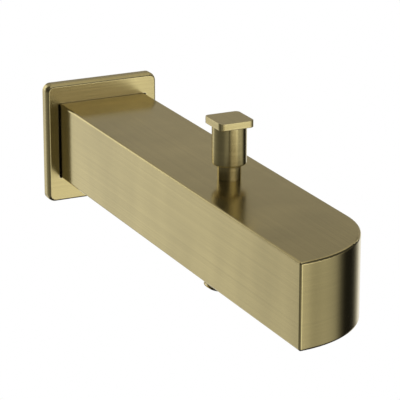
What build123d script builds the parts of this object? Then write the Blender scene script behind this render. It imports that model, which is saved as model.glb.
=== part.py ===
from build123d import *
from math import asin, degrees
import os

# Wall-mounted bath spout: a rectangular brass bar with a rounded nose, a square wall flange,
# a pull-up diverter on top and a threaded hand-shower outlet underneath.
# All sizes are in millimetres. The wall is the plane y = 0, the spout runs out along -Y, +Z is up,
# and the origin is the centre of the water inlet on the wall plane.
# A "distance" is measured from the wall along -Y, and a "level" is a height above the origin.

# Spout body, outside
body_width = 42.8
body_height = 35.6
spout_reach = 241.8
nose_depth = 40.8
body_edge_radius = 1.0
wall_gap = 1.0

# Spout body, water passages
body_wall = 6.0
core_corner_radius = 5.0
valve_block_length = 32.0
chamber_radius = 11.0
port_width = 17.0
port_height = 8.0
port_corner_radius = 2.5
seat_bore_radius = 7.5
seat_land_width = 1.2
seat_land_height = 0.8
shelf_thickness = 2.0
front_zone_height = 8.6
guide_slot_width = 3.4

# Wall flange
flange_width = 54.9
flange_height = 56.1
flange_thickness = 5.6
flange_corner_radius = 3.6
flange_crown_depth = 3.0
flange_crown_radius = 5.4
flange_edge_radius = 0.8
flange_drop = 1.2
flange_plate = 2.4
flange_rim = 2.2
flange_side_gap = 0.7
flange_top_gap = 0.1
flange_bottom_gap = 0.1
flange_boss_width = 10.0
gasket_gap = 0.25

# Threaded wall adapter: a pipe thread of half an inch, and a spigot that the body slides over
pipe_thread_radius = 10.4775
pipe_thread_end = 14.0
thread_chamfer = 1.0
adapter_shoulder = 0.5
spigot_radius = 10.95
spigot_length = 34.0
socket_gap = 0.15
socket_end_gap = 2.0
water_bore_radius = 6.0
key_flats = 12.0
adapter_key_depth = 10.0
adapter_ring_distances = (23.0, 29.0)
adapter_ring_section = 2.0
ring_groove_width = 2.6
ring_gap = 0.04
clamp_groove_width = 5.6
clamp_groove_depth = 1.2

# Set screws
body_screw_distance = 16.0
body_screw_radius = 2.5
body_screw_recess = 2.8
flange_screw_radius = 1.5
flange_screw_recess = 2.8
knob_screw_radius = 1.5
knob_screw_recess = 0.3
knob_screw_key_depth = 1.5
screw_key_depth = 2.5
screw_tip_chamfer = 0.4
thread_gap = 0.05
tip_gap = 0.02

# Diverter: knob and stem
knob_distance = 138.0
diverter_travel = 7.4
knob_gap = 6.5
knob_top = 26.0
barrel_radius = 7.25
barrel_edge_radius = 0.7
plate_size = 15.7
plate_thickness = 3.05
plate_corner_radius = 2.0
plate_edge_radius = 0.25
stem_radius = 5.0
stem_spigot_radius = 3.5
stem_spigot_length = 12.0
stem_gap = 0.06
spindle_radius = 2.5
stem_end_chamfer = 0.5
knob_screw_rise = 6.0
knob_bore_spare = 1.0

# Diverter: plunger and its washers
lower_seat_level = -12.0
seat_gap = 0.05
washer_radius = 8.8
washer_thickness = 1.5
plunger_radius = 9.5
plunger_web = 2.5
cup_depth = 0.7
cup_gap = 0.1
spindle_gap = 0.05
guide_ear_gap = 0.2
spring_washer_radius = 6.4
spring_washer_thickness = 0.8
lock_washer_radius = 5.2
lock_washer_thickness = 0.8
nut_flats = 8.0
nut_height = 4.0
spindle_end_length = 0.6

# Diverter: guide bush and spring
bush_radius = 7.6
bush_length = 7.0
bush_skin = 2.6
bush_boss_radius = 9.6
bush_groove_width = 1.9
bush_land = 1.0
bush_slot_width = 1.6
bush_slot_depth = 1.0
stem_ring_section = 1.4
bush_ring_section = 1.4
bush_ring_radius = 6.35
spring_wire_radius = 0.4
spring_gap = 0.3
spring_turns = 4

# Hand-shower outlet nipple
nipple_drop = 11.2
nipple_chamfer = 0.7
nipple_collar_radius = 15.0
nipple_collar_height = 2.2
nipple_seat_radius = 12.0
nipple_entry_radius = 7.0
nipple_entry_depth = 6.5
nipple_key_depth = 6.0
nipple_ring_radius = 13.0
nipple_ring_section = 1.3
face_gap = 0.02

# Aerator
aerator_setback = 33.0
aerator_socket_radius = 13.5
aerator_socket_depth = 8.6
aerator_boss_radius = 16.5
aerator_boss_lip = 1.0
aerator_throat_radius = 11.0
aerator_lip_radius = 14.6
aerator_lip_height = 1.2
aerator_insert_radius = 11.2
aerator_insert_gap = 0.2
aerator_opening_radius = 10.4
aerator_washer_thickness = 1.6
aerator_notch_width = 3.0
aerator_notch_depth = 1.4
honeycomb_flats = 2.4
honeycomb_web = 0.7
honeycomb_radius = 8.8

# Levels and distances that follow from the sizes above
top_level = body_height / 2
bottom_level = -body_height / 2
core_width = body_width - 2 * body_wall
core_height = body_height - 2 * body_wall
nose_start = spout_reach - nose_depth
aerator_distance = spout_reach - aerator_setback
socket_radius = spigot_radius + socket_gap
socket_depth = spigot_length + socket_end_gap
block_start = knob_distance - valve_block_length / 2
block_end = knob_distance + valve_block_length / 2
stack_bottom = lower_seat_level + seat_gap
web_bottom = stack_bottom + washer_thickness
web_top = web_bottom + plunger_web
stack_top = web_top + washer_thickness
stem_shoulder = stack_top + spring_washer_thickness
upper_seat_level = stack_top + diverter_travel + seat_gap
shelf_bottom = upper_seat_level + seat_land_height
shelf_top = upper_seat_level + shelf_thickness
front_zone_top = shelf_top + front_zone_height
bush_pocket_top = top_level - bush_skin
bush_top = bush_pocket_top - bush_ring_section - 2 * ring_gap
bush_bottom = bush_top - bush_length
barrel_bottom = top_level + knob_gap
plate_bottom = top_level + knob_top - plate_thickness
flange_top = flange_height / 2 - flange_drop
flange_bottom = -flange_drop - flange_height / 2
crown_start = flange_thickness - flange_crown_depth
crown_angle = degrees(asin(flange_crown_depth / flange_crown_radius))
opening_top = top_level + flange_top_gap
opening_bottom = bottom_level - flange_bottom_gap

# Working planes and axes: (sideways, level) planes square to the spout, and turning axes
inlet_axis = Axis((0, 0, 0), (0, -1, 0))
inlet_profile = Plane((0, 0, 0), x_dir=(0, -1, 0), z_dir=(-1, 0, 0))
valve_axis = Axis((0, -knob_distance, 0), (0, 0, 1))
valve_profile = Plane((0, -knob_distance, 0), x_dir=(1, 0, 0), z_dir=(0, -1, 0))
aerator_axis = Axis((0, -aerator_distance, 0), (0, 0, 1))
aerator_profile = Plane((0, -aerator_distance, 0), x_dir=(1, 0, 0), z_dir=(0, -1, 0))


def square_to_spout(distance):
    return Plane.XZ.offset(distance)


def level_plane(distance, level):
    return Plane((0, -distance, level))


def bar_outline(inset, start):
    # Plan view of the bar: straight sides, and a front that sweeps round in a quarter ellipse
    # from a crisp left corner to the right-hand side.
    half = body_width / 2 - inset
    with BuildLine() as outline:
        Line((half, -nose_start), (half, -start))
        Line((half, -start), (-half, -start))
        Line((-half, -start), (-half, -spout_reach + inset))
        EllipticalCenterArc((-half, -nose_start), 2 * half, nose_depth - inset, start_angle=270, arc_size=90)
    make_face(outline.edges())


def turned_profile(*points):
    with BuildLine() as outline:
        Polyline(*points, close=True)
    make_face(outline.edges())


def hexagon(across_flats):
    RegularPolygon(radius=across_flats / 2, side_count=6, major_radius=False)


# The cast body: the bar, its cored water passages and the valve block between them
with BuildPart() as spout_body:
    with BuildSketch(Plane.XY.offset(bottom_level)):
        bar_outline(0, wall_gap)
    extrude(amount=body_height)
    back_face = spout_body.faces().sort_by(Axis.Y)[-1]
    smooth_side = spout_body.edges().filter_by(Axis.Z).sort_by(Axis.X)[-2:].sort_by(Axis.Y)[0]
    sharp_edges = [e for e in spout_body.edges() if e not in back_face.edges() and e != smooth_side]
    fillet(sharp_edges, radius=body_edge_radius)

    # Rear passage, from the inlet socket to the valve block
    with BuildSketch(square_to_spout(0)):
        Circle(socket_radius)
    extrude(amount=socket_depth, mode=Mode.SUBTRACT)
    with BuildSketch(square_to_spout(socket_depth)):
        RectangleRounded(core_width, core_height, core_corner_radius)
    extrude(amount=block_start - socket_depth, mode=Mode.SUBTRACT)

    # Front passage, which follows the nose
    with BuildSketch(Plane.XY.offset(-core_height / 2)):
        bar_outline(body_wall, block_end)
    extrude(amount=core_height, mode=Mode.SUBTRACT)

    # Ports through the valve block: the rear one below the shelf, the front one above it
    rear_port_level = (lower_seat_level + upper_seat_level) / 2
    with BuildSketch(square_to_spout(block_start)):
        with Locations((0, rear_port_level)):
            RectangleRounded(port_width, port_height, port_corner_radius)
    extrude(amount=valve_block_length / 2, mode=Mode.SUBTRACT)
    front_port_level = (shelf_top + front_zone_top) / 2
    with BuildSketch(square_to_spout(knob_distance)):
        with Locations((0, front_port_level)):
            RectangleRounded(port_width, port_height, port_corner_radius)
    extrude(amount=valve_block_length / 2, mode=Mode.SUBTRACT)

    # Valve chamber, upper seat and front zone, then the boss that holds the guide bush
    with BuildSketch(valve_profile):
        turned_profile(
            (0, bottom_level),
            (nipple_seat_radius, bottom_level),
            (nipple_seat_radius, lower_seat_level),
            (chamber_radius, lower_seat_level),
            (chamber_radius, shelf_bottom),
            (seat_bore_radius + seat_land_width, shelf_bottom),
            (seat_bore_radius + seat_land_width, upper_seat_level),
            (seat_bore_radius, upper_seat_level),
            (seat_bore_radius, shelf_top),
            (chamber_radius, shelf_top),
            (chamber_radius, front_zone_top),
            (0, front_zone_top),
        )
    revolve(axis=valve_axis, mode=Mode.SUBTRACT)
    with BuildSketch(level_plane(knob_distance, bush_bottom)):
        Circle(bush_boss_radius)
    extrude(amount=front_zone_top - bush_bottom)
    with BuildSketch(level_plane(knob_distance, bush_bottom)):
        Circle(bush_radius + thread_gap)
    extrude(amount=bush_pocket_top - bush_bottom, mode=Mode.SUBTRACT)
    with BuildSketch(level_plane(knob_distance, bush_bottom)):
        Circle(stem_radius + stem_gap)
    extrude(amount=top_level - bush_bottom, mode=Mode.SUBTRACT)

    # Two upright slots that keep the plunger, and so the square knob, from turning
    with BuildSketch(level_plane(knob_distance, lower_seat_level)):
        Rectangle(2 * nipple_seat_radius, guide_slot_width)
    extrude(amount=upper_seat_level - lower_seat_level, mode=Mode.SUBTRACT)

    # Aerator socket in the floor of the nose
    with BuildSketch(level_plane(aerator_distance, bottom_level)):
        Circle(aerator_boss_radius)
    extrude(amount=aerator_socket_depth + aerator_boss_lip)
    with BuildSketch(level_plane(aerator_distance, bottom_level)):
        Circle(aerator_throat_radius)
    extrude(amount=aerator_socket_depth + aerator_boss_lip, mode=Mode.SUBTRACT)
    with BuildSketch(level_plane(aerator_distance, bottom_level)):
        Circle(aerator_socket_radius)
    extrude(amount=aerator_socket_depth, mode=Mode.SUBTRACT)

    # Tapped hole for the screw that clamps the body on the wall adapter
    with BuildSketch(level_plane(body_screw_distance, bottom_level)):
        Circle(body_screw_radius)
    extrude(amount=body_height / 2, mode=Mode.SUBTRACT)
spout_body.part.label = "spout_body"

# Wall flange: a shell with a crowned rim and a solid boss for its screw, dropped over the body
with BuildPart() as wall_flange:
    with BuildSketch(square_to_spout(0)):
        with Locations((0, -flange_drop)):
            RectangleRounded(flange_width, flange_height, flange_corner_radius)
    extrude(amount=flange_thickness)
    with BuildLine(square_to_spout(0)) as rim_path:
        round_corners = FilletPolyline(
            (0, flange_top),
            (flange_width / 2, flange_top),
            (flange_width / 2, flange_bottom),
            (-flange_width / 2, flange_bottom),
            (-flange_width / 2, flange_top),
            (-flange_width / 4, flange_top),
            radius=flange_corner_radius,
        )
        Line(round_corners @ 1, round_corners @ 0)
    with BuildSketch(inlet_profile):
        with BuildLine() as crown_outline:
            crown = CenterArc((crown_start, flange_top - flange_crown_radius), flange_crown_radius, 90, -crown_angle)
            Polyline(crown @ 1, (flange_thickness, flange_top), crown @ 0)
        make_face(crown_outline.edges())
    sweep(path=rim_path.wire(), mode=Mode.SUBTRACT)
    fillet(wall_flange.faces().sort_by(Axis.Y)[0].edges(), radius=flange_edge_radius)
    with BuildSketch(square_to_spout(0)):
        with Locations((0, -flange_drop)):
            RectangleRounded(
                flange_width - 2 * flange_rim,
                flange_height - 2 * flange_rim,
                flange_corner_radius - flange_rim,
            )
        with Locations((0, flange_bottom)):
            Rectangle(flange_boss_width, 2 * (opening_bottom - flange_bottom), mode=Mode.SUBTRACT)
    extrude(amount=flange_thickness - flange_plate, mode=Mode.SUBTRACT)
    with BuildSketch(square_to_spout(0)):
        with Locations((0, (opening_top + opening_bottom) / 2)):
            RectangleRounded(body_width + 2 * flange_side_gap, opening_top - opening_bottom, body_edge_radius)
    extrude(amount=flange_thickness, mode=Mode.SUBTRACT)
    with BuildSketch(level_plane(flange_thickness / 2, flange_bottom)):
        Circle(flange_screw_radius)
    extrude(amount=opening_bottom - flange_bottom, mode=Mode.SUBTRACT)
wall_flange.part.label = "wall_flange"

# Foam gasket that fills the back of the flange round the body
with BuildPart() as flange_gasket:
    with BuildSketch(square_to_spout(0)):
        with Locations((0, -flange_drop)):
            RectangleRounded(
                flange_width - 2 * (flange_rim + gasket_gap),
                flange_height - 2 * (flange_rim + gasket_gap),
                flange_corner_radius - flange_rim,
            )
        Rectangle(body_width + 2 * gasket_gap, body_height + 2 * gasket_gap, mode=Mode.SUBTRACT)
        with Locations((0, flange_bottom)):
            Rectangle(
                flange_boss_width + 2 * gasket_gap,
                2 * (bottom_level - flange_bottom),
                mode=Mode.SUBTRACT,
            )
    extrude(amount=flange_thickness - flange_plate - gasket_gap)
flange_gasket.part.label = "flange_gasket"

# Turned wall adapter, with a clamp groove, two ring grooves and a key socket in its outer end
with BuildPart() as wall_adapter:
    groove_floor = spigot_radius - clamp_groove_depth
    ring_floor = socket_radius - adapter_ring_section - 2 * ring_gap
    with BuildSketch(inlet_profile):
        turned_profile(
            (-pipe_thread_end, water_bore_radius),
            (-pipe_thread_end, pipe_thread_radius - thread_chamfer),
            (-pipe_thread_end + thread_chamfer, pipe_thread_radius),
            (adapter_shoulder, pipe_thread_radius),
            (adapter_shoulder, spigot_radius),
            (spigot_length - thread_chamfer, spigot_radius),
            (spigot_length, spigot_radius - thread_chamfer),
            (spigot_length, water_bore_radius),
        )
        with Locations((body_screw_distance, spigot_radius)):
            Rectangle(clamp_groove_width, 2 * clamp_groove_depth, mode=Mode.SUBTRACT)
        with Locations(*[(distance, spigot_radius) for distance in adapter_ring_distances]):
            Rectangle(ring_groove_width, 2 * (spigot_radius - ring_floor), mode=Mode.SUBTRACT)
    revolve(axis=inlet_axis)
    with BuildSketch(square_to_spout(spigot_length)):
        hexagon(key_flats)
    extrude(amount=-adapter_key_depth, mode=Mode.SUBTRACT)
wall_adapter.part.label = "wall_adapter"

adapter_rings = {}
for name, distance in zip(("adapter_o_ring_inner", "adapter_o_ring_outer"), adapter_ring_distances):
    with BuildPart() as adapter_ring:
        with BuildSketch(inlet_profile):
            with Locations((distance, socket_radius - adapter_ring_section / 2 - ring_gap)):
                Circle(adapter_ring_section / 2)
        revolve(axis=inlet_axis)
    adapter_ring.part.label = name
    adapter_rings[name] = adapter_ring.part

# Set screw from below that clamps the body on the adapter
with BuildPart() as body_set_screw:
    with BuildSketch(level_plane(body_screw_distance, -groove_floor - tip_gap)):
        Circle(body_screw_radius - thread_gap)
    extrude(amount=bottom_level + body_screw_recess + groove_floor + tip_gap)
    chamfer(body_set_screw.faces().sort_by(Axis.Z)[-1].edges(), length=screw_tip_chamfer)
    with BuildSketch(Plane(body_set_screw.faces().sort_by(Axis.Z)[0])):
        hexagon(body_screw_radius)
    extrude(amount=-screw_key_depth, mode=Mode.SUBTRACT)
body_set_screw.part.label = "body_set_screw"

# Set screw in the flange's boss, which grips the underside of the body
with BuildPart() as flange_set_screw:
    with BuildSketch(level_plane(flange_thickness / 2, bottom_level - tip_gap)):
        Circle(flange_screw_radius - thread_gap)
    extrude(amount=flange_bottom + flange_screw_recess + tip_gap - bottom_level)
    chamfer(flange_set_screw.faces().sort_by(Axis.Z)[-1].edges(), length=screw_tip_chamfer)
    with BuildSketch(Plane(flange_set_screw.faces().sort_by(Axis.Z)[0])):
        hexagon(flange_screw_radius)
    extrude(amount=-screw_key_depth, mode=Mode.SUBTRACT)
flange_set_screw.part.label = "flange_set_screw"

# Diverter knob: a round barrel with a square plate on top, bored for the stem
with BuildPart() as diverter_knob:
    with BuildSketch(level_plane(knob_distance, barrel_bottom)):
        Circle(barrel_radius)
    extrude(amount=plate_bottom - barrel_bottom)
    fillet(diverter_knob.edges().sort_by(Axis.Z)[0], radius=barrel_edge_radius)
    with BuildSketch(level_plane(knob_distance, plate_bottom)):
        RectangleRounded(plate_size, plate_size, plate_corner_radius)
    extrude(amount=plate_thickness)
    plate_underside, plate_face = diverter_knob.faces().filter_by(Axis.Z).sort_by(Axis.Z)[-2:]
    fillet(plate_face.edges() + plate_underside.outer_wire().edges(), radius=plate_edge_radius)
    with BuildSketch(level_plane(knob_distance, barrel_bottom)):
        Circle(stem_spigot_radius + thread_gap)
    extrude(amount=stem_spigot_length + knob_bore_spare, mode=Mode.SUBTRACT)
    with BuildSketch(square_to_spout(knob_distance)):
        with Locations((0, barrel_bottom + knob_screw_rise)):
            Circle(knob_screw_radius)
    extrude(amount=-barrel_radius, mode=Mode.SUBTRACT)
diverter_knob.part.label = "diverter_knob"

# Set screw in the back of the barrel
with BuildPart() as knob_set_screw:
    with BuildSketch(square_to_spout(knob_distance - stem_spigot_radius - tip_gap)):
        with Locations((0, barrel_bottom + knob_screw_rise)):
            Circle(knob_screw_radius - thread_gap)
    extrude(amount=stem_spigot_radius + tip_gap + knob_screw_recess - barrel_radius)
    with BuildSketch(Plane(knob_set_screw.faces().sort_by(Axis.Y)[-1])):
        hexagon(knob_screw_radius)
    extrude(amount=-knob_screw_key_depth, mode=Mode.SUBTRACT)
knob_set_screw.part.label = "knob_set_screw"

# Stem: spigot for the knob, polished sliding length, and the threaded spindle of the plunger
with BuildPart() as diverter_stem:
    spindle_bottom = stack_bottom - lock_washer_thickness - nut_height - spindle_end_length
    stem_top = barrel_bottom + stem_spigot_length
    with BuildSketch(valve_profile):
        turned_profile(
            (0, spindle_bottom),
            (spindle_radius - stem_end_chamfer, spindle_bottom),
            (spindle_radius, spindle_bottom + stem_end_chamfer),
            (spindle_radius, stem_shoulder),
            (stem_radius, stem_shoulder),
            (stem_radius, barrel_bottom - face_gap),
            (stem_spigot_radius, barrel_bottom - face_gap),
            (stem_spigot_radius, stem_top - stem_end_chamfer),
            (stem_spigot_radius - stem_end_chamfer, stem_top),
            (0, stem_top),
        )
    revolve(axis=valve_axis)
diverter_stem.part.label = "diverter_stem"

# Guide bush, screwed up into the body from inside, with grooves for the two stem rings
with BuildPart() as stem_guide_bush:
    ring_inset = bush_land + bush_groove_width / 2
    stem_ring_levels = (bush_bottom + ring_inset, bush_top - ring_inset)
    with BuildSketch(valve_profile):
        turned_profile(
            (stem_radius + stem_gap, bush_bottom),
            (bush_radius, bush_bottom),
            (bush_radius, bush_top),
            (stem_radius + stem_gap, bush_top),
        )
        groove_radius = stem_radius + stem_gap + stem_ring_section + 2 * ring_gap
        with Locations(*[(stem_radius, level) for level in stem_ring_levels]):
            Rectangle(2 * (groove_radius - stem_radius), bush_groove_width, mode=Mode.SUBTRACT)
    revolve(axis=valve_axis)
    with BuildSketch(level_plane(knob_distance, bush_bottom)):
        Rectangle(2 * bush_radius, bush_slot_width)
    extrude(amount=bush_slot_depth, mode=Mode.SUBTRACT)
stem_guide_bush.part.label = "stem_guide_bush"

stem_rings = {}
for name, level in zip(("stem_o_ring_lower", "stem_o_ring_upper"), stem_ring_levels):
    with BuildPart() as stem_ring:
        with BuildSketch(valve_profile):
            with Locations((stem_radius + stem_gap + stem_ring_section / 2 + ring_gap, level)):
                Circle(stem_ring_section / 2)
        revolve(axis=valve_axis)
    stem_ring.part.label = name
    stem_rings[name] = stem_ring.part

with BuildPart() as bush_o_ring:
    with BuildSketch(valve_profile):
        with Locations((bush_ring_radius, (bush_top + bush_pocket_top) / 2)):
            Circle(bush_ring_section / 2)
    revolve(axis=valve_axis)
bush_o_ring.part.label = "bush_o_ring"

# Return spring round the stem, between the bush and the plunger
with BuildPart() as return_spring:
    coil_radius = stem_radius + spring_gap + spring_wire_radius
    coil_bottom = stem_shoulder + spring_wire_radius + seat_gap
    coil_height = bush_bottom - spring_wire_radius - seat_gap - coil_bottom
    with BuildLine(level_plane(knob_distance, coil_bottom)) as coil:
        Helix(pitch=coil_height / spring_turns, height=coil_height, radius=coil_radius)
    with BuildSketch(Plane(coil.line @ 0, z_dir=coil.line % 0)):
        Circle(spring_wire_radius)
    sweep(is_frenet=True)
return_spring.part.label = "return_spring"

# Plunger: a disc cupped above and below for the seals, with an ear on each side
with BuildPart() as valve_plunger:
    cup_radius = washer_radius + cup_gap
    with BuildSketch(valve_profile):
        turned_profile(
            (spindle_radius + spindle_gap, web_bottom),
            (cup_radius, web_bottom),
            (cup_radius, web_bottom - cup_depth),
            (plunger_radius, web_bottom - cup_depth),
            (plunger_radius, web_top + cup_depth),
            (cup_radius, web_top + cup_depth),
            (cup_radius, web_top),
            (spindle_radius + spindle_gap, web_top),
        )
    revolve(axis=valve_axis)
    with BuildSketch(level_plane(knob_distance, web_bottom)):
        Rectangle(2 * (nipple_seat_radius - guide_ear_gap), guide_slot_width - 2 * guide_ear_gap)
        Circle(plunger_radius - cup_gap, mode=Mode.SUBTRACT)
    extrude(amount=plunger_web)
valve_plunger.part.label = "valve_plunger"

washers = {}
for name, level in (("lower_valve_washer", stack_bottom), ("upper_valve_washer", web_top)):
    with BuildPart() as washer:
        with BuildSketch(level_plane(knob_distance, level)):
            Circle(washer_radius)
            Circle(spindle_radius + spindle_gap, mode=Mode.SUBTRACT)
        extrude(amount=washer_thickness)
    washer.part.label = name
    washers[name] = washer.part

with BuildPart() as spring_seat_washer:
    with BuildSketch(level_plane(knob_distance, stack_top)):
        Circle(spring_washer_radius)
        Circle(spindle_radius + spindle_gap, mode=Mode.SUBTRACT)
    extrude(amount=spring_washer_thickness)
spring_seat_washer.part.label = "spring_seat_washer"

with BuildPart() as plunger_lock_washer:
    with BuildSketch(level_plane(knob_distance, stack_bottom)):
        Circle(lock_washer_radius)
        Circle(spindle_radius + spindle_gap, mode=Mode.SUBTRACT)
    extrude(amount=-lock_washer_thickness)
plunger_lock_washer.part.label = "plunger_lock_washer"

with BuildPart() as plunger_nut:
    nut_top = stack_bottom - lock_washer_thickness
    with BuildSketch(level_plane(knob_distance, nut_top)):
        hexagon(nut_flats)
        Circle(spindle_radius + spindle_gap, mode=Mode.SUBTRACT)
    extrude(amount=-nut_height)
plunger_nut.part.label = "plunger_nut"

# Hand-shower outlet nipple: its inner end is the lower valve seat
with BuildPart() as shower_outlet_nipple:
    collar_top = bottom_level - face_gap
    collar_bottom = bottom_level - nipple_collar_height
    nipple_bottom = bottom_level - nipple_drop
    bore_step = lower_seat_level - nipple_entry_depth
    with BuildSketch(valve_profile):
        turned_profile(
            (nipple_entry_radius, lower_seat_level),
            (nipple_entry_radius + seat_land_width, lower_seat_level),
            (nipple_entry_radius + seat_land_width, lower_seat_level - seat_land_height),
            (nipple_seat_radius - thread_gap, lower_seat_level - seat_land_height),
            (nipple_seat_radius - thread_gap, collar_top),
            (nipple_collar_radius, collar_top),
            (nipple_collar_radius, collar_bottom),
            (pipe_thread_radius, collar_bottom),
            (pipe_thread_radius, nipple_bottom + nipple_chamfer),
            (pipe_thread_radius - nipple_chamfer, nipple_bottom),
            (water_bore_radius, nipple_bottom),
            (water_bore_radius, bore_step),
            (nipple_entry_radius, bore_step),
        )
        nipple_groove_depth = nipple_ring_section + ring_gap
        with Locations((nipple_ring_radius, collar_top)):
            Rectangle(nipple_groove_depth + ring_gap, 2 * nipple_groove_depth, mode=Mode.SUBTRACT)
    revolve(axis=valve_axis)
    with BuildSketch(level_plane(knob_distance, nipple_bottom)):
        hexagon(key_flats)
    extrude(amount=nipple_key_depth, mode=Mode.SUBTRACT)
shower_outlet_nipple.part.label = "shower_outlet_nipple"

with BuildPart() as nipple_o_ring:
    with BuildSketch(valve_profile):
        with Locations((nipple_ring_radius, bottom_level - ring_gap / 2 - nipple_ring_section / 2)):
            Circle(nipple_ring_section / 2)
    revolve(axis=valve_axis)
nipple_o_ring.part.label = "nipple_o_ring"

# Aerator: threaded ring, honeycomb insert and sealing washer
with BuildPart() as aerator_housing:
    socket_top = bottom_level + aerator_socket_depth
    washer_bottom = socket_top - aerator_washer_thickness
    with BuildSketch(aerator_profile):
        turned_profile(
            (aerator_insert_radius + aerator_insert_gap, washer_bottom - face_gap),
            (aerator_socket_radius - thread_gap, washer_bottom - face_gap),
            (aerator_socket_radius - thread_gap, bottom_level - face_gap),
            (aerator_lip_radius, bottom_level - face_gap),
            (aerator_lip_radius, bottom_level - aerator_lip_height),
            (aerator_opening_radius, bottom_level - aerator_lip_height),
            (aerator_opening_radius, bottom_level),
            (aerator_insert_radius + aerator_insert_gap, bottom_level),
        )
    revolve(axis=aerator_axis)
    with BuildSketch(level_plane(aerator_distance, bottom_level - aerator_lip_height)):
        with Locations((-aerator_lip_radius, 0), (aerator_lip_radius, 0)):
            Rectangle(2 * aerator_notch_depth, aerator_notch_width)
    extrude(amount=aerator_lip_height, mode=Mode.SUBTRACT)
aerator_housing.part.label = "aerator_housing"

with BuildPart() as aerator_insert:
    insert_bottom = bottom_level + face_gap
    with BuildSketch(level_plane(aerator_distance, insert_bottom)):
        Circle(aerator_insert_radius)
        cell_pitch = honeycomb_flats + honeycomb_web
        cell_rows = 2 * int(honeycomb_radius / cell_pitch) + 3
        cells = HexLocations(cell_pitch / 2, cell_rows, cell_rows, major_radius=False).local_locations
        with Locations(*[cell for cell in cells if cell.position.length < honeycomb_radius]):
            RegularPolygon(honeycomb_flats / 2, 6, major_radius=False, rotation=30, mode=Mode.SUBTRACT)
    extrude(amount=washer_bottom - face_gap - insert_bottom)
aerator_insert.part.label = "aerator_insert"

with BuildPart() as aerator_washer:
    with BuildSketch(level_plane(aerator_distance, washer_bottom)):
        Circle(aerator_socket_radius - thread_gap)
        Circle(aerator_throat_radius - face_gap, mode=Mode.SUBTRACT)
    extrude(amount=aerator_washer_thickness - face_gap)
aerator_washer.part.label = "aerator_washer"

pieces = [
    spout_body.part,
    wall_flange.part,
    flange_gasket.part,
    wall_adapter.part,
    body_set_screw.part,
    flange_set_screw.part,
    diverter_knob.part,
    knob_set_screw.part,
    diverter_stem.part,
    stem_guide_bush.part,
    bush_o_ring.part,
    return_spring.part,
    valve_plunger.part,
    spring_seat_washer.part,
    plunger_lock_washer.part,
    plunger_nut.part,
    shower_outlet_nipple.part,
    nipple_o_ring.part,
    aerator_housing.part,
    aerator_insert.part,
    aerator_washer.part,
    *adapter_rings.values(),
    *stem_rings.values(),
    *washers.values(),
]
os.makedirs("parts", exist_ok=True)
for piece in pieces:
    export_step(piece, f"parts/{piece.label}.step")
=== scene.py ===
import math

import bmesh
import bpy
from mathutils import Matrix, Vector


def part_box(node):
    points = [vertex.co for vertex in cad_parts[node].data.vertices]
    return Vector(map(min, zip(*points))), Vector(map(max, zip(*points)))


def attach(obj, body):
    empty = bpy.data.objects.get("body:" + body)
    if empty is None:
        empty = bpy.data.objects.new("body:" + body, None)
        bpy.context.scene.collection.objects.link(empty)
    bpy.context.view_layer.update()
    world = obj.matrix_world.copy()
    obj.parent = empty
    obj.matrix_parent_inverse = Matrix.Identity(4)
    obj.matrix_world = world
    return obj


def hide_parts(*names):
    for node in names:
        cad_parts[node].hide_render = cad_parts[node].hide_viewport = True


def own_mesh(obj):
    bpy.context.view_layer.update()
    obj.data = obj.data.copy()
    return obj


# A wall-mounted bath spout in brushed bronze, seen from its upper left front.
# Everything is in metres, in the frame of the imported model: the wall is the plane y = 0,
# the spout runs out along -Y, and +Z is up.

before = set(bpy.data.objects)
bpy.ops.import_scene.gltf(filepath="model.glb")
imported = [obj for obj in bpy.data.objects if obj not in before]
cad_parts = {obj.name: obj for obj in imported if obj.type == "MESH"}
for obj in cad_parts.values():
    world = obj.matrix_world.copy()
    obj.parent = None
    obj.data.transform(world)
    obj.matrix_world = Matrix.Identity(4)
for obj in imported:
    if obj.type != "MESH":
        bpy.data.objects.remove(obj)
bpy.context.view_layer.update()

# Camera, with its angles in degrees
camera_azimuth = 205.479
camera_elevation = 18.443
camera_target = Vector((-0.0028, -0.1159, 0.0020))
camera_distance = 0.9923
camera_lens = 211.4
sensor_width = 36.0

# Floor: its own paint near a point under the spout, and plain white further out
floor_level = -0.5
floor_size = 12.0
floor_middle = (0.0, -0.12, 0.0)
floor_near = 0.30
floor_far = 0.50
floor_greys = (0.86, 0.92)
speckle_scale = 90.0

# Light and studio cards
light_level = 0.75
card_radius = 1.6
card_rows = 6
card_step = 3.0

# Base colours, which are linear
bronze = (0.60, 0.503, 0.233)
brass = (0.80, 0.58, 0.25)
steel = (0.58, 0.57, 0.55)
rubber = (0.018, 0.018, 0.019)
foam = (0.055, 0.055, 0.06)
plastic = (0.62, 0.63, 0.62)

# Brushed finish: a face whose normal rises more than upward is brushed as the top is
upward = 0.7
fine_share = 0.35
cloud_scales = (26.0, 36.0, 17.0)
edge_radius = 0.001
edge_gain = 4.0
# The paler edges are partly rub wear and partly a painted highlight along them
edge_wear_and_highlight = 0.3
streak_roughness = 0.03
turned_roughness = 0.07
flange_roughness = 0.04
edge_smoothness = 0.10
brush_bump = 0.02
brush_depth = 0.00004

# Where the finish changes: the turned faces of the knob, above the bar, and the flange
turned_forward_of = -0.1
turned_from = 0.0181
turned_to = 0.0407
flange_front = -0.0066

# Grain of the plain finishes
broad_grain = 12
broad_depth = 0.07
grain_roughness = 0.08
grain_bump = 0.3

# Half-inch parallel pipe thread, and the two turned pieces that carry it
thread_radius = 0.0104775
thread_pitch = 0.001814
thread_depth = 0.00116
thread_lead = 0.001
thread_flat = 0.1
thread_turn_steps = 8
lathe_steps = 96
sharp_angle = math.radians(35)
water_bore = 0.006
key_flats = 0.012


def direction(azimuth, elevation):
    """Unit vector towards an azimuth, in degrees from +Y round towards +X, and an elevation."""
    a = math.radians(azimuth)
    e = math.radians(elevation)
    return Vector((math.sin(a) * math.cos(e), math.cos(a) * math.cos(e), math.sin(e)))


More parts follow.
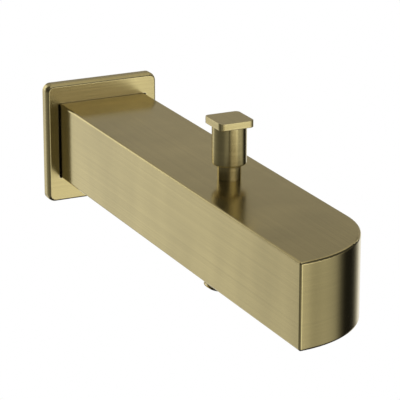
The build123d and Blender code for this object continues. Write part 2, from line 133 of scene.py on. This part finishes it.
def make_camera():
    """A camera at the photo's viewing angle, found by a fit to the edges in the photo."""
    back = direction(camera_azimuth, camera_elevation)
    data = bpy.data.cameras.new("camera")
    data.lens = camera_lens
    data.sensor_width = sensor_width
    camera = bpy.data.objects.new("camera", data)
    camera.location = camera_target + camera_distance * back
    camera.rotation_mode = "QUATERNION"
    camera.rotation_quaternion = (-back).to_track_quat("-Z", "Y")
    bpy.context.scene.collection.objects.link(camera)
    bpy.context.scene.camera = camera


class Nodes:
    """A short way to write a material's or the world's node tree."""

    def __init__(self, owner):
        owner.use_nodes = True
        self.tree = owner.node_tree
        self.tree.nodes.clear()

    def add(self, kind, values=(), **settings):
        node = self.tree.nodes.new(kind)
        for name, value in settings.items():
            setattr(node, name, value)
        for name, value in dict(values).items():
            self.set(node.inputs[name], value)
        return node

    def set(self, socket, value):
        if isinstance(value, bpy.types.NodeSocket):
            self.tree.links.new(value, socket)
        else:
            socket.default_value = value

    def show(self, shader, kind="ShaderNodeOutputMaterial"):
        """The last node of the tree, which takes the finished shader."""
        output = self.add(kind)
        self.set(output.inputs["Surface"], shader.outputs[0])

    def math(self, operation, a, b=0.0, clamp=False):
        node = self.add("ShaderNodeMath", {0: a, 1: b}, operation=operation, use_clamp=clamp)
        return node.outputs[0]

    def between(self, value, low, high):
        """1 where the value lies between low and high, and 0 elsewhere."""
        middle = (low + high) / 2
        reach = (high - low) / 2
        return self.add("ShaderNodeMath", {0: value, 1: middle, 2: reach}, operation="COMPARE").outputs[0]

    def mix(self, factor, a, b):
        node = self.add("ShaderNodeMix", data_type="FLOAT")
        self.set(node.inputs["Factor"], factor)
        self.set(node.inputs["A"], a)
        self.set(node.inputs["B"], b)
        return node.outputs["Result"]

    def mix_colour(self, factor, a, b, blend="MIX"):
        node = self.add("ShaderNodeMix", data_type="RGBA", blend_type=blend)
        self.set(node.inputs["Factor"], factor)
        self.set(node.inputs["A"], a)
        self.set(node.inputs["B"], b)
        return node.outputs["Result"]

    def shaded(self, colour, shade):
        """A colour made lighter or darker by a level that varies round 1."""
        level = self.add("ShaderNodeCombineColor", {0: shade, 1: shade, 2: shade}).outputs[0]
        return self.mix_colour(1.0, (*colour, 1.0), level, blend="MULTIPLY")

    def spread(self, value, low, high):
        """A value from 0 to 1 carried over to the range from low to high."""
        node = self.add("ShaderNodeMapRange", {"Value": value, "To Min": low, "To Max": high})
        return node.outputs[0]

    def noise(self, vector, scales, detail=2.0, roughness=0.5):
        mapped = self.add("ShaderNodeMapping", {"Vector": vector, "Scale": scales})
        node = self.add(
            "ShaderNodeTexNoise",
            {"Vector": mapped.outputs[0], "Scale": 1.0, "Detail": detail, "Roughness": roughness},
        )
        return node.outputs[0]

    def looked_at(self):
        """1 for the camera's rays and for what metal and glass show, and 0 for the light on things."""
        rays = self.add("ShaderNodeLightPath").outputs
        seen = self.math("MAXIMUM", rays["Is Camera Ray"], rays["Is Glossy Ray"])
        return self.math("MAXIMUM", seen, rays["Is Transmission Ray"])


def grey(level):
    return (level, level, level, 1.0)


def brushed_metal(name, colour, roughness, anisotropic, streak_depth, cloud_depth):
    """Metal brushed along the spout on upward faces, and level all round on upright ones."""
    material = bpy.data.materials.new(name)
    n = Nodes(material)
    place = n.add("ShaderNodeTexCoord").outputs["Object"]
    normal = n.add("ShaderNodeNewGeometry").outputs["Normal"]
    up = n.math("ABSOLUTE", n.add("ShaderNodeSeparateXYZ", {0: normal}).outputs["Z"])
    facing_up = n.math("GREATER_THAN", up, upward)

    def lines(across, along, rough):
        """Long streaks of noise, from its scale across the lines and along them."""
        top = n.noise(place, (across, along, along), detail=1.0, roughness=rough)
        side = n.noise(place, (along, along, across), detail=1.0, roughness=rough)
        return n.mix(facing_up, side, top)

    fine = lines(across=2200.0, along=12.0, rough=0.6)
    coarse = lines(across=1300.0, along=4.0, rough=0.5)
    streaks = n.math("ADD", n.math("MULTIPLY", fine, fine_share), n.math("MULTIPLY", coarse, 1 - fine_share))
    cloud = n.noise(place, cloud_scales, detail=2.0)
    darkened = n.spread(streaks, 1.0 - streak_depth, 1.0 + streak_depth)
    clouded = n.spread(cloud, 1.0 - cloud_depth, 1.0 + cloud_depth)
    tint = n.shaded(colour, n.math("MULTIPLY", darkened, clouded))

    # Edges are painted a little paler, partly as wear and partly as a painted highlight, and are smoother,
    # where hands and cloths rub them
    bevel = n.add("ShaderNodeBevel", {"Radius": edge_radius}, samples=6).outputs[0]
    compared = n.add("ShaderNodeVectorMath", {0: bevel, 1: normal}, operation="DOT_PRODUCT")
    edge = n.math("MULTIPLY", n.math("SUBTRACT", 1.0, compared.outputs["Value"]), edge_gain, clamp=True)
    # The paler edge colour is partly wear and partly a painted highlight, where the rounded edges would
    # mirror light
    pale = (*[0.5 + 0.5 * c for c in colour], 1.0)
    worn_and_highlit = n.mix_colour(n.math("MULTIPLY", edge, edge_wear_and_highlight), tint, pale)

    # The knob's barrel and stem are turned, and their rings blur what they mirror more.
    # The flange, at the wall, is brushed a little coarser than the spout.
    where = n.add("ShaderNodeSeparateXYZ", {0: place}).outputs
    forward = n.math("LESS_THAN", where["Y"], turned_forward_of)
    above = n.between(where["Z"], turned_from, turned_to)
    upright = n.math("SUBTRACT", 1.0, facing_up)
    turned = n.math("MULTIPLY", n.math("MULTIPLY", forward, above), upright)
    flange = n.math("GREATER_THAN", where["Y"], flange_front)
    rough = n.spread(streaks, roughness - streak_roughness, roughness + streak_roughness)
    rough = n.math("ADD", rough, n.math("MULTIPLY", turned, turned_roughness))
    rough = n.math("ADD", rough, n.math("MULTIPLY", flange, flange_roughness))
    rough = n.math("SUBTRACT", rough, n.math("MULTIPLY", edge, edge_smoothness))

    # The lines run across this direction, and the metal blurs what it mirrors along it
    across_lines = n.add("ShaderNodeCombineXYZ", {0: 0.02, 1: 0.0, 2: 1.0}).outputs[0]
    bump = n.add("ShaderNodeBump", {"Strength": brush_bump, "Distance": brush_depth, "Height": fine})
    n.show(n.add(
        "ShaderNodeBsdfPrincipled",
        {
            "Base Color": worn_and_highlit,
            "Metallic": 1.0,
            "Roughness": rough,
            "Anisotropic": anisotropic,
            "Tangent": across_lines,
            "Normal": bump.outputs[0],
        },
    ))
    return material


def plain_material(name, colour, roughness, metallic, grain, grain_size, bump_depth):
    """A moulded, turned or foamed surface with its own fine grain."""
    material = bpy.data.materials.new(name)
    n = Nodes(material)
    place = n.add("ShaderNodeTexCoord").outputs["Object"]
    fine_scale = 1.0 / grain_size
    broad_scale = fine_scale / broad_grain
    fine = n.noise(place, [fine_scale] * 3, detail=4.0, roughness=0.6)
    broad = n.noise(place, [broad_scale] * 3, detail=2.0)
    speckled = n.spread(fine, 1.0 - grain, 1.0 + grain)
    clouded = n.spread(broad, 1.0 - broad_depth, 1.0 + broad_depth)
    tint = n.shaded(colour, n.math("MULTIPLY", speckled, clouded))
    rough = n.spread(fine, roughness - grain_roughness, roughness + grain_roughness)
    bump = n.add("ShaderNodeBump", {"Strength": grain_bump, "Distance": bump_depth, "Height": fine})
    n.show(n.add(
        "ShaderNodeBsdfPrincipled",
        {"Base Color": tint, "Metallic": metallic, "Roughness": rough, "Normal": bump.outputs[0]},
    ))
    return material


def make_materials():
    """The finish of every material slot, by the slot's name."""
    made = {"brushed_bronze": brushed_metal(
        "brushed_bronze", bronze, roughness=0.17, anisotropic=0.85, streak_depth=0.18, cloud_depth=0.22,
    )}
    for name, colour, roughness, metallic, grain, grain_size, bump_depth in (
        ("plain_brass", brass, 0.32, 1.0, 0.08, 0.0006, 0.00002),
        ("stainless_steel", steel, 0.28, 1.0, 0.06, 0.0005, 0.00001),
        ("seal_rubber", rubber, 0.55, 0.0, 0.15, 0.0004, 0.00002),
        ("gasket_foam", foam, 0.9, 0.0, 0.5, 0.0009, 0.0002),
        ("aerator_plastic", plastic, 0.42, 0.0, 0.05, 0.0008, 0.00002),
    ):
        made[name] = plain_material(name, colour, roughness, metallic, grain, grain_size, bump_depth)
    return made


def dress_nodes(materials):
    """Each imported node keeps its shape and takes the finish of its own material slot."""
    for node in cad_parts.values():
        for place in node.material_slots:
            name = place.material.name.split(".")[0]
            place.material = materials[name]


def round_bore(radius):
    return lambda turn: radius


def hexagonal(across_flats):
    """Radius of a hexagon at a share of a turn."""
    def radius(turn):
        angle = (turn * 2 * math.pi) % (math.pi / 3) - math.pi / 6
        return across_flats / 2 / math.cos(angle)
    return radius


def threaded(distance):
    """Radius of the thread at a distance along it: a rounded V, which winds on with the turn."""
    def radius(turn):
        phase = (distance / thread_pitch - turn) % 1.0
        flank = (abs(2 * phase - 1) - thread_flat) / (1 - 2 * thread_flat)
        rounded = 0.5 - 0.5 * math.cos(math.pi * min(max(flank, 0.0), 1.0))
        return thread_radius - thread_depth * rounded
    return radius


def steps(*places):
    """Stations of plain round steps, from (distance, radius) pairs."""
    return [(distance, round_bore(radius)) for distance, radius in places]


def thread_run(start, end):
    """Stations of a thread from start to end, which runs in and out over its lead."""
    def station(distance):
        room = min(abs(distance - start), abs(end - distance))
        share = min(1.0, room / thread_lead)
        cut = threaded(distance)
        return distance, lambda turn: thread_radius + (cut(turn) - thread_radius) * share

    count = round(abs(end - start) / thread_pitch * thread_turn_steps)
    return [station(start + (end - start) * i / count) for i in range(count + 1)]


def lathe(name, stations, place):
    """A closed turned mesh from rings of (distance, radius at each share of a turn).

    place takes a point's two distances from the axis and its distance along it.
    """
    mesh = bpy.data.meshes.new(name)
    points = []
    for distance, radius in stations:
        for step in range(lathe_steps):
            turn = step / lathe_steps
            angle = 2 * math.pi * turn
            r = radius(turn)
            points.append(place(r * math.cos(angle), r * math.sin(angle), distance))
    faces = []
    count = len(stations)
    for ring in range(count):
        following = (ring + 1) % count
        for step in range(lathe_steps):
            after = (step + 1) % lathe_steps
            faces.append((
                ring * lathe_steps + step,
                ring * lathe_steps + after,
                following * lathe_steps + after,
                following * lathe_steps + step,
            ))
    mesh.from_pydata(points, [], faces)
    solid = bmesh.new()
    solid.from_mesh(mesh)
    bmesh.ops.recalc_face_normals(solid, faces=solid.faces)
    solid.to_mesh(mesh)
    solid.free()
    mesh.polygons.foreach_set("use_smooth", [True] * len(mesh.polygons))
    mesh.set_sharp_from_angle(angle=sharp_angle)
    piece = bpy.data.objects.new(name, mesh)
    bpy.context.scene.collection.objects.link(piece)
    return piece


def make_adapter(materials):
    """The wall adapter with its thread cut, its clamp groove, two ring grooves and key socket."""
    low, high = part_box("wall_adapter")
    end = high.y
    tip = -low.y
    spigot = (high.x - low.x) / 2
    shoulder = 0.0005
    chamfer = 0.001
    clamp_from, clamp_to, clamp_depth = 0.0132, 0.0188, 0.0012
    clamp_floor = spigot - clamp_depth
    rings = ((0.0217, 0.0243), (0.0277, 0.0303))
    ring_floor = 0.00902
    key_depth = 0.010

    stations = steps((-end, water_bore), (-end, thread_radius - chamfer))
    stations += thread_run(-end + chamfer, shoulder)
    stations += steps((shoulder, spigot), (clamp_from, spigot))
    stations += steps((clamp_from, clamp_floor), (clamp_to, clamp_floor), (clamp_to, spigot))
    for start, stop in rings:
        stations += steps((start, spigot), (start, ring_floor), (stop, ring_floor), (stop, spigot))
    stations += steps((tip - chamfer, spigot), (tip, spigot - chamfer))
    stations += [(tip, hexagonal(key_flats)), (tip - key_depth, hexagonal(key_flats))]
    stations += steps((tip - key_depth, water_bore))
    piece = lathe("wall_adapter_threaded", stations, lambda a, b, d: (a, -d, b))
    piece.data.materials.append(materials["plain_brass"])
    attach(piece, "spout")
    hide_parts("wall_adapter")


def make_nipple(materials):
    """The hand-shower outlet with its thread cut, its collar and ring groove, seat and key socket."""
    low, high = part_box("shower_outlet_nipple")
    centre = (low.y + high.y) / 2
    collar = (high.x - low.x) / 2
    collar_top, collar_bottom = -0.01782, -0.0200
    collar_edge = 0.0003
    entry, land, seat = 0.007, 0.0082, 0.01195
    land_bottom = high.z - 0.0008
    groove_inner, groove_outer, groove_top = 0.01231, 0.01369, -0.01916
    bore_step = -0.0185
    key_top = low.z + 0.006
    chamfer = 0.0007

    stations = steps((high.z, entry), (high.z, land), (land_bottom, land))
    stations += steps((land_bottom, seat), (collar_top, seat))
    stations += steps((collar_top, groove_inner), (groove_top, groove_inner))
    stations += steps((groove_top, groove_outer), (collar_top, groove_outer))
    stations += steps((collar_top, collar - collar_edge), (collar_top - collar_edge, collar))
    stations += steps((collar_bottom + collar_edge, collar), (collar_bottom, collar - collar_edge))
    stations += thread_run(collar_bottom, low.z + chamfer)
    stations += steps((low.z, thread_radius - chamfer))
    stations += [(low.z, hexagonal(key_flats)), (key_top, hexagonal(key_flats))]
    stations += steps((key_top, water_bore), (bore_step, water_bore), (bore_step, entry))
    piece = lathe("shower_outlet_threaded", stations, lambda a, b, d: (a, centre + b, d))
    piece.data.materials.append(materials["brushed_bronze"])
    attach(piece, "spout")
    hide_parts("shower_outlet_nipple")


def make_spring(materials):
    """The return spring, a copy of the imported coil in stainless steel, carried with the spout."""
    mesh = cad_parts["return_spring"].data.copy()
    mesh.materials.clear()
    mesh.materials.append(materials["stainless_steel"])
    piece = bpy.data.objects.new("return_spring_coil", mesh)
    bpy.context.scene.collection.objects.link(piece)
    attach(piece, "spout")
    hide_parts("return_spring")
    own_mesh(piece)


def make_floor():
    """A pale floor under the spout, which turns to the plain white of the background further out."""
    mesh = bpy.data.meshes.new("floor")
    half = floor_size / 2
    corners = [(x, y, floor_level) for x, y in ((-half, -half), (half, -half), (half, half), (-half, half))]
    mesh.from_pydata(corners, [], [(0, 1, 2, 3)])
    floor = bpy.data.objects.new("floor", mesh)
    bpy.context.scene.collection.objects.link(floor)
    floor.visible_glossy = False

    material = bpy.data.materials.new("pale_floor")
    n = Nodes(material)
    place = n.add("ShaderNodeTexCoord").outputs["Object"]
    flat = n.add("ShaderNodeVectorMath", {0: place, 1: (1.0, 1.0, 0.0)}, operation="MULTIPLY").outputs[0]
    under = n.add("ShaderNodeVectorMath", {0: flat, 1: floor_middle}, operation="SUBTRACT").outputs[0]
    reach = n.add("ShaderNodeVectorMath", {0: under}, operation="LENGTH").outputs["Value"]
    away = n.add(
        "ShaderNodeMapRange",
        {"Value": reach, "From Min": floor_near, "From Max": floor_far},
        interpolation_type="SMOOTHSTEP",
    ).outputs[0]
    speckle = n.noise(place, [speckle_scale] * 3, detail=4.0)
    pale = n.mix_colour(speckle, grey(floor_greys[0]), grey(floor_greys[1]))
    paint = n.add("ShaderNodeBsdfDiffuse", {"Color": pale})
    white = n.add("ShaderNodeEmission", {"Color": grey(1.0), "Strength": 1.0})
    share = n.math("MULTIPLY", away, n.looked_at())
    n.show(n.add("ShaderNodeMixShader", {0: share, 1: paint.outputs[0], 2: white.outputs[0]}))
    mesh.materials.append(material)


def make_world():
    """White background for the camera and for what metal mirrors, and a plain level of light."""
    world = bpy.data.worlds.new("studio")
    bpy.context.scene.world = world
    n = Nodes(world)
    light = n.add("ShaderNodeBackground", {"Color": grey(1.0), "Strength": light_level})
    white = n.add("ShaderNodeBackground", {"Color": grey(1.0), "Strength": 1.0})
    mixed = n.add("ShaderNodeMixShader", {0: n.looked_at(), 1: light.outputs[0], 2: white.outputs[0]})
    n.show(mixed, "ShaderNodeOutputWorld")


def make_card(name, elevations, stops, tint=(1.0, 1.0, 1.0)):
    """A studio card that only the metal mirrors: a patch of a sphere round the spout.

    stops are (azimuth, level) pairs, and the grey runs evenly from each to the next.
    """
    columns = [stops[0]]
    for (start, first), (end, last) in zip(stops, stops[1:]):
        count = max(1, round((end - start) / card_step))
        for i in range(1, count + 1):
            columns.append((start + (end - start) * i / count, first + (last - first) * i / count))
    low, high = elevations
    points = []
    levels = []
    for row in range(card_rows + 1):
        elevation = low + (high - low) * row / card_rows
        for azimuth, level in columns:
            points.append(camera_target + card_radius * direction(azimuth, elevation))
            levels.append(level)
    width = len(columns)
    faces = []
    for row in range(card_rows):
        for column in range(width - 1):
            first = row * width + column
            faces.append((first, first + 1, first + 1 + width, first + width))
    mesh = bpy.data.meshes.new(name)
    mesh.from_pydata(points, [], faces)
    mesh.attributes.new("level", "FLOAT", "POINT").data.foreach_set("value", levels)

    material = bpy.data.materials.new(name)
    n = Nodes(material)
    level = n.add("ShaderNodeAttribute", attribute_name="level").outputs["Fac"]
    n.show(n.add("ShaderNodeEmission", {"Color": (*tint, 1.0), "Strength": level}))
    mesh.materials.append(material)

    card = bpy.data.objects.new(name, mesh)
    bpy.context.scene.collection.objects.link(card)
    card.visible_camera = False
    card.visible_diffuse = False
    card.visible_shadow = False
    card.visible_transmission = False


def make_cards():
    """Cards all round, placed and dimmed by comparing renders with the photo.

    From the camera, the upright faces mirror the low cards, and the top mirrors the cards behind
    the spout. The front card shows in what is mirrored twice: the knob and the flange in the top,
    and the top in the flange.
    """
    warm = (1.0, 0.95, 0.85)
    less_green = (1.0, 0.95, 1.0)
    make_card("card_low_right", (-38, -4), [
        (55, 0.7), (58.5, 0.63), (66, 0.235), (73, 0.05), (80, 0.015), (93, 0.015), (97.5, 0.04),
        (101.5, 0.09), (105.5, 0.19), (108.5, 0.29), (111.5, 0.36), (118, 0.44), (127, 0.48),
        (137, 0.43), (142, 0.46), (148.5, 0.62), (151, 0.66),
    ])
    make_card("card_low_left", (-38, -4), [
        (172, 1.2), (180, 1.1), (187, 0.98), (195, 0.6), (198.5, 0.36), (201, 0.09), (206, 0.08),
        (210, 0.32), (216, 0.33), (228, 0.27), (243, 0.15), (258, 0.125), (275, 0.125), (291, 0.17),
        (311, 0.25), (326, 0.44), (330, 0.645), (331, 0.685), (332.6, 0.74), (333.5, 0.72),
        (335.1, 0.757), (335.9, 0.82), (336.8, 0.9), (338.2, 0.89), (340, 0.84), (344, 0.45),
        (356, 0.35),
    ])
    make_card("card_glint", (-12, -4), [(154, 1.3), (171, 1.3)])
    make_card("card_horizon", (-4, 7), [
        (66, 0.1), (100, 0.1), (115, 0.4), (130, 1.0), (142, 1.15), (155, 1.8), (180, 1.8),
        (190, 1.2), (200, 0.42), (205, 0.14), (215, 0.14), (320, 0.1),
    ])
    make_card("card_front", (7, 24), [
        (70, 0.02), (100, 0.03), (112, 0.05), (122, 0.08), (133, 0.16), (145, 0.36), (157, 0.49),
        (165, 0.48), (172, 0.43), (184, 0.4), (190, 0.35), (200, 0.23), (208, 0.13), (220, 0.06),
        (240, 0.02), (300, 0.03), (315, 0.08), (332, 0.3),
    ], less_green)
    make_card("card_high_front", (24, 60), [(66, 0.08), (332, 0.08)])
    for low, high, level in (
        (0, 16.5, 0.32), (16.5, 17.3, 0.375), (17.3, 18.2, 0.43), (18.2, 19.3, 0.46),
        (19.3, 20.5, 0.35), (20.5, 25.5, 0.235), (25.5, 32, 0.42),
    ):
        make_card("card_behind", (low, high), [(-10, level), (66, level)], warm)
    for low, high, level in ((0, 23, 1.3), (23, 24, 1.05), (24, 32, 0.85)):
        make_card("card_edge", (low, high), [(-28, level), (-10, level)])
    make_card("card_high_behind", (32, 60), [(-28, 0.35), (0, 0.35), (12, 0.55), (66, 0.55)], warm)
    make_card("card_overhead", (60, 90), [(0, 0.6), (360, 0.6)])
    make_card("card_below", (-90, -38), [(0, 0.03), (360, 0.03)])


def make_lamp(name, azimuth, elevation, distance, size, power):
    """A square soft lamp that faces the spout, and that the metal doesn't mirror."""
    data = bpy.data.lights.new(name, "AREA")
    data.shape = "SQUARE"
    data.size = size
    data.energy = power
    lamp = bpy.data.objects.new(name, data)
    towards = direction(azimuth, elevation)
    lamp.location = camera_target + distance * towards
    lamp.rotation_mode = "QUATERNION"
    lamp.rotation_quaternion = towards.to_track_quat("Z", "Y")
    lamp.visible_glossy = False
    bpy.context.scene.collection.objects.link(lamp)


bpy.context.scene.view_settings.view_transform = "Standard"
make_camera()
materials = make_materials()
dress_nodes(materials)
make_adapter(materials)
make_nipple(materials)
make_spring(materials)
make_floor()
make_world()
make_cards()
make_lamp("overhead_softbox", azimuth=180, elevation=75, distance=1.6, size=1.0, power=8.0)
make_lamp("front_softbox", azimuth=215, elevation=35, distance=1.8, size=0.8, power=5.0)
